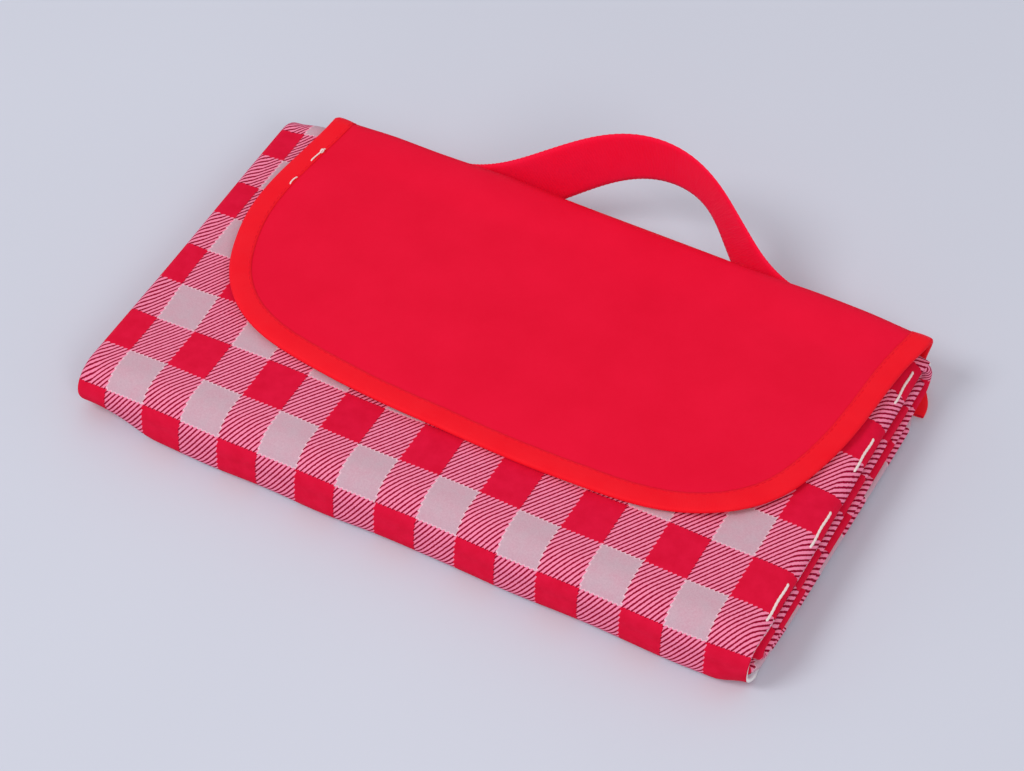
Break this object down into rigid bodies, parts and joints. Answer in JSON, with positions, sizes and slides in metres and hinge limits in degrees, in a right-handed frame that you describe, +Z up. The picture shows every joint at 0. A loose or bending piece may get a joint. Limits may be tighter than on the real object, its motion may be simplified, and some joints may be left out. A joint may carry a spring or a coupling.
{
  "type": "folded picnic mat",
  "caption": "Padded gingham picnic mat folded flat for carrying, with a rounded red flap over the top, bound edges and a webbing handle on its spine.",
  "frame": {"origin": "on the ground under the middle of the folded pack", "axes": "+X along the pack's long side towards its right end, +Y towards the spine and handle, +Z up"},
  "size_m": [0.33, 0.2233, 0.0714],
  "materials": {
    "gingham_cloth": "woven red and white gingham with twill blends, matt",
    "white_backing": "smooth coated white cloth",
    "foam": "soft white foam sheet",
    "red_oxford": "fine plain-woven red polyester, matt",
    "red_binding": "bright orange-red bias tape, slight sheen",
    "red_webbing": "flat woven red webbing",
    "red_thread": "red polyester sewing thread",
    "white_thread": "white cotton thread",
    "closure_tape": "red hook and loop tape, fuzzy"
  },
  "bodies": {
    "mat": {"gingham_face": "gingham_cloth", "foam_wadding": "foam", "waterproof_backing": "white_backing", "edge_stitch": "white_thread", "spine_panel": "red_oxford", "spine_interlining": "foam", "spine_lining": "red_oxford", "spine_binding_left": "red_binding", "spine_binding_right": "red_binding", "tail_seam_stitch": "red_thread", "loop_tape": "closure_tape", "loop_tape_stitch": "red_thread", "handle_sewn_end_left": "red_webbing", "handle_sewn_end_right": "red_webbing", "handle_box_stitch_left": "red_thread", "handle_box_stitch_right": "red_thread"},
    "flap": {"flap_panel": "red_oxford", "flap_interlining": "foam", "flap_lining": "red_oxford", "flap_binding": "red_binding", "flap_binding_stitch": "red_thread", "hook_tape": "closure_tape", "hook_tape_stitch": "red_thread", "white_thread_ends": "white_thread"},
    "handle": {"handle_loop": "red_webbing"}
  },
  "joints": [
    {"name": "flap_open", "type": "hinge", "parent": "mat", "child": "flap", "pos_m": [0.004, 0.0981, 0.0337], "axis": [-1, 0, 0], "range_deg": [0, 170]},
    {"name": "handle_swing", "type": "hinge", "parent": "mat", "child": "handle", "pos_m": [0.007, 0.0994, 0.001], "axis": [-1, 0, 0], "range_deg": [-10, 56]}
  ],
  "couplings": [
    {"joint": "handle_swing", "follows": "flap_open", "ratio": 0.32}
  ]
}
